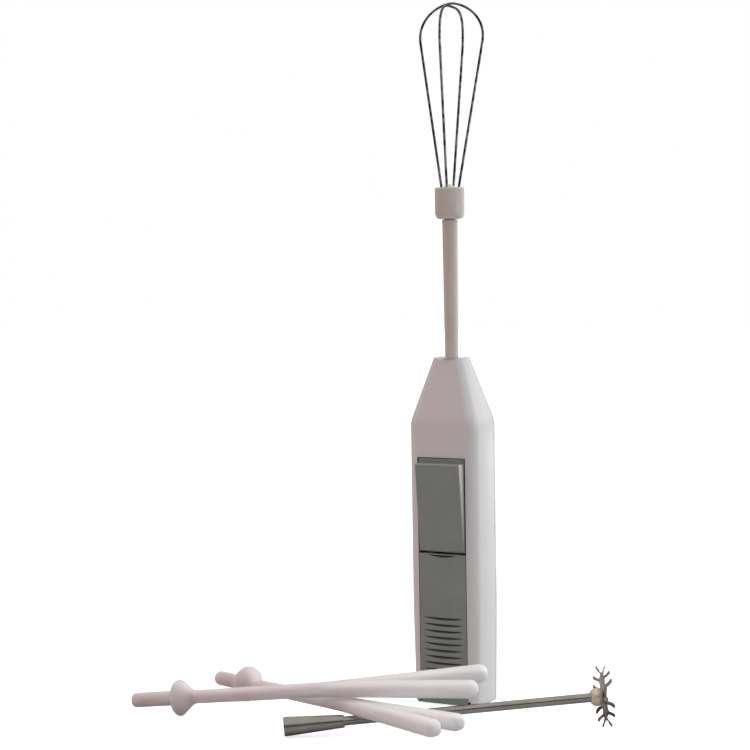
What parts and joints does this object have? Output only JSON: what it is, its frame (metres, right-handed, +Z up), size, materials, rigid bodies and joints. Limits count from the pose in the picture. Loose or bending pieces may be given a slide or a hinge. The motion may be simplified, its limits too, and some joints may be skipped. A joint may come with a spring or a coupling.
{
  "type": "milk frother",
  "caption": "Battery milk frother: slim push-button handle standing on its base with a balloon whisk fitted, and loose mixing paddles and a toothed-disc frothing wand in front.",
  "frame": {"origin": "middle of the handle's flat base, where its vertical drive axis meets the table", "axes": "+Z up along the drive shaft towards the whisk, the front with the button and battery door faces -Y, +X to the right seen from the front"},
  "size_m": [0.1873, 0.1132, 0.282],
  "materials": {
    "gloss_white": "gloss moulded",
    "satin_grey": "satin moulded",
    "screw_steel": "bright plated",
    "moulded_black": "matt moulded",
    "cell_wrap": "shrink sleeve over a steel can",
    "plated_contact": "nickel plated",
    "red_lead": "satin insulation",
    "black_lead": "satin insulation",
    "motor_steel": "zinc plated",
    "motor_cap": "matt moulded",
    "bush_bronze": "sintered",
    "ferrite": "matt ceramic magnet",
    "carbon": "pressed carbon",
    "copper": "enamelled copper",
    "laminated_iron": "stacked laminations",
    "stem_white": "satin moulded",
    "potting": "clear amber adhesive",
    "whisk_wire": "drawn bright wire",
    "bright_steel": "polished stainless",
    "wand_insert": "matt moulded",
    "milky_plastic": "translucent milky moulded"
  },
  "bodies": {
    "handle": {"front_housing": "gloss_white", "rear_housing": "gloss_white", "housing_screw_left": "screw_steel", "housing_screw_right": "screw_steel", "battery_tray": "moulded_black", "battery_cell_left": "cell_wrap", "battery_cell_right": "cell_wrap", "contact_bridge": "plated_contact", "contact_spring_lower": "plated_contact", "contact_spring_upper": "plated_contact", "battery_contact_positive": "plated_contact", "battery_contact_negative": "plated_contact", "switch_contact": "plated_contact", "lead_red": "red_lead", "lead_black": "black_lead", "motor_can": "motor_steel", "motor_end_cap": "motor_cap", "motor_bush": "bush_bronze", "shaft_guide_bush": "bush_bronze", "motor_magnet_left": "ferrite", "motor_magnet_right": "ferrite", "motor_brush_left": "carbon", "motor_brush_right": "carbon"},
    "rotor": {"drive_shaft": "screw_steel", "commutator": "copper", "armature_core": "laminated_iron", "armature_coil_1": "copper", "armature_coil_2": "copper", "armature_coil_3": "copper"},
    "whisk": {"whisk_stem": "stem_white", "whisk_collar": "stem_white", "whisk_plug": "potting", "whisk_loop_outer": "whisk_wire", "whisk_loop_inner": "whisk_wire"},
    "button": {"power_button": "satin_grey"},
    "switch_leaf": {"switch_leaf": "plated_contact"},
    "battery_door": {"battery_door": "satin_grey"},
    "wand": {"wand_sleeve": "bright_steel", "wand_insert": "wand_insert", "wand_rod": "bright_steel", "wand_hub": "bright_steel", "wand_disc": "bright_steel"},
    "paddle_2": {"mixing_paddle_2": "milky_plastic"},
    "paddle_1": {"mixing_paddle_1": "milky_plastic"}
  },
  "joints": [
    {"name": "motor_spin", "type": "hinge", "parent": "handle", "child": "rotor", "pos_m": [0, 0, 0.1022], "axis": [0, 0, 1], "continuous": true},
    {"name": "whisk_pull", "type": "slide", "parent": "rotor", "child": "whisk", "axis": [0, 0, 1], "range_m": [0, 0.03]},
    {"name": "button_press", "type": "hinge", "parent": "handle", "child": "button", "pos_m": [0, -0.0078, 0.0626], "axis": [-1, 0, 0], "range_deg": [0, 4], "stiffness_Nm_per_rad": 0.05, "springref_deg": -8.59},
    {"name": "switch_leaf_bend", "type": "hinge", "parent": "handle", "child": "switch_leaf", "pos_m": [-0.0075, -0.0056, 0.066], "axis": [-1, 0, 0], "range_deg": [0, 4.8]},
    {"name": "battery_door_slide", "type": "slide", "parent": "handle", "child": "battery_door", "axis": [0, 0, -1], "range_m": [0, 0.064]},
    {"name": "wand_lift", "type": "slide", "parent": "handle", "child": "wand", "axis": [0, 0, 1], "range_m": [0, 0.12]},
    {"name": "paddle_2_lift", "type": "slide", "parent": "wand", "child": "paddle_2", "axis": [0, 0, 1], "range_m": [0, 0.12]},
    {"name": "paddle_1_lift", "type": "slide", "parent": "paddle_2", "child": "paddle_1", "axis": [0, 0, 1], "range_m": [0, 0.12]}
  ],
  "couplings": [
    {"joint": "switch_leaf_bend", "follows": "button_press", "ratio": 1.19}
  ]
}
